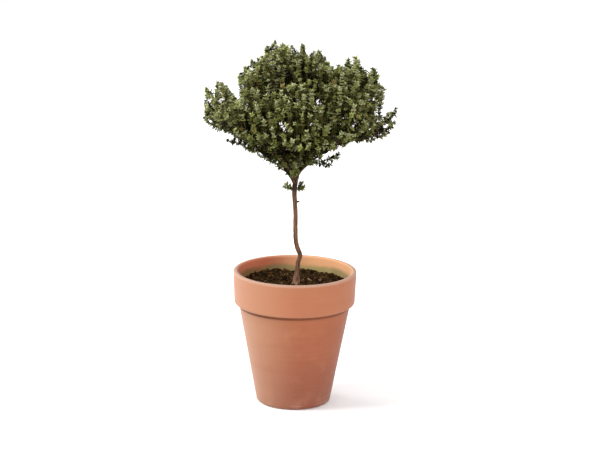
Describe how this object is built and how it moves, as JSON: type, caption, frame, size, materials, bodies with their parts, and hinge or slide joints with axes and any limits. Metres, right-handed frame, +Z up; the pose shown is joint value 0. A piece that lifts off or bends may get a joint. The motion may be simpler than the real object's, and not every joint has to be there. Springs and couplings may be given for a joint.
{
  "type": "potted thyme standard",
  "caption": "Thyme shrub trained as a standard, with a bare slender trunk and a full spreading head of small leaves, in a round tapered clay pot with a deep collar.",
  "frame": {"origin": "middle of the pot's flat underside, where the plant stands", "axes": "+Z up along the trunk, -Y towards the viewer of the picture, +X to the viewer's right"},
  "size_m": [0.2829, 0.2607, 0.5371],
  "materials": {
    "clay": "unglazed fired clay, matt, with faint turning lines and a pale bloom",
    "soil": "moist dark potting compost with crumbs",
    "bark": "stringy reddish brown bark, matt",
    "foliage": "grey-green matt leaves"
  },
  "bodies": {
    "root": {"pot": "clay", "soil": "soil", "trunk": "bark", "bough_left": "bark", "bough_left_front": "bark", "bough_front": "bark", "bough_right_front": "bark", "bough_right": "bark", "bough_right_back": "bark", "bough_back": "bark", "bough_left_back": "bark", "bough_top_left": "bark", "bough_top_middle": "bark", "bough_top_right": "bark", "bough_lower_left": "bark", "bough_lower_right": "bark", "bough_lower_front": "bark", "mass_left": "foliage", "mass_left_front": "foliage", "mass_front": "foliage", "mass_right_front": "foliage", "mass_right": "foliage", "mass_right_back": "foliage", "mass_back": "foliage", "mass_left_back": "foliage", "mass_top_left": "foliage", "mass_top_middle": "foliage", "mass_top_right": "foliage", "mass_lower_left": "foliage", "mass_lower_right": "foliage", "mass_lower_front": "foliage", "sprout_left": "foliage", "sprout_right": "foliage"}
  },
  "joints": []
}
